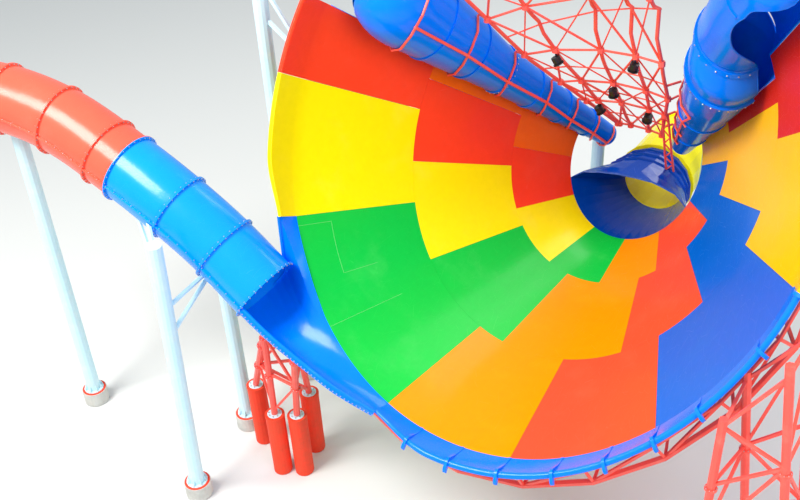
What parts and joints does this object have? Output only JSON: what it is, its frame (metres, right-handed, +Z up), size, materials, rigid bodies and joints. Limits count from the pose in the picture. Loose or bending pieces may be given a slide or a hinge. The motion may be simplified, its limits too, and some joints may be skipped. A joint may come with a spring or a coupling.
{
  "type": "open-topped funnel raft slide with entry flume",
  "caption": "Very large open-topped cone of stepped coloured panels for rafts, with a round entry flume, rolled slot lips, lattice steelwork, posts on plinths and an exit hood.",
  "frame": {"origin": "middle of the bounding box on the ground, under the funnel's front part", "axes": "+Z up, +Y from the funnel's mouth toward its small end and exit, +X to the right seen from the mouth; the flume comes in from -X"},
  "size_m": [32.2636, 23.5748, 20.8793],
  "materials": {
    "concrete": "bare cast concrete",
    "flume_red": "glossy coloured gel coat, sun-faded",
    "gelcoat_amber": "glossy coloured gel coat",
    "gelcoat_blue": "glossy coloured gel coat",
    "gelcoat_deep_blue": "glossy coloured gel coat",
    "gelcoat_green": "glossy coloured gel coat",
    "gelcoat_orange": "glossy coloured gel coat",
    "gelcoat_red": "glossy coloured gel coat",
    "gelcoat_salmon": "glossy coloured gel coat, sun-faded",
    "gelcoat_yellow": "glossy coloured gel coat",
    "pier_red": "painted concrete in a steel sleeve",
    "steel_coral": "satin coral red paint",
    "steel_pale": "satin pale blue-white paint"
  },
  "bodies": {
    "root": {"panels_amber_left": "gelcoat_amber", "panels_red_left": "gelcoat_red", "panels_yellow_left": "gelcoat_yellow", "panels_green": "gelcoat_green", "panels_orange": "gelcoat_orange", "panels_salmon": "gelcoat_salmon", "panels_blue": "gelcoat_deep_blue", "panels_yellow_right": "gelcoat_yellow", "panels_red_right": "gelcoat_red", "rim_bottom_left": "gelcoat_blue", "rim_bottom_right": "gelcoat_blue", "rim_right": "gelcoat_blue", "flume_blue_1": "gelcoat_blue", "flume_blue_2": "gelcoat_blue", "flume_blue_3": "gelcoat_blue", "flume_red_1": "flume_red", "flume_red_2": "flume_red", "flume_red_3": "flume_red", "flume_red_4": "flume_red", "entry_trough": "gelcoat_blue", "slot_lip_left": "gelcoat_blue", "slot_lip_right": "gelcoat_blue", "slot_hood_right": "gelcoat_blue", "exit_hood": "gelcoat_deep_blue", "exit_tube": "gelcoat_yellow", "lip_ribs_left": "steel_coral", "lip_ribs_right": "steel_coral", "slot_lattice_left": "steel_coral", "slot_lattice_right": "steel_coral", "ring_truss_left": "steel_coral", "ring_truss_right": "steel_coral", "tower_pier_left_1": "pier_red", "tower_pier_left_2": "pier_red", "tower_pier_left_3": "pier_red", "tower_pier_left_4": "pier_red", "lattice_tower_left": "steel_coral", "tower_pier_right_1": "pier_red", "tower_pier_right_2": "pier_red", "tower_pier_right_3": "pier_red", "tower_pier_right_4": "pier_red", "lattice_tower_right": "steel_coral", "plinth_main": "concrete", "post_main": "steel_pale", "plinth_flume_outer": "concrete", "post_flume_outer": "steel_pale", "plinth_flume_rear": "concrete", "post_flume_rear": "steel_pale", "plinth_rim_left": "concrete", "post_rim_left": "steel_pale", "plinth_rim_right": "concrete", "post_rim_right": "steel_pale", "plinth_small_end_left": "concrete", "post_small_end_left": "steel_pale", "plinth_small_end_right": "concrete", "post_small_end_right": "steel_pale"}
  },
  "joints": []
}
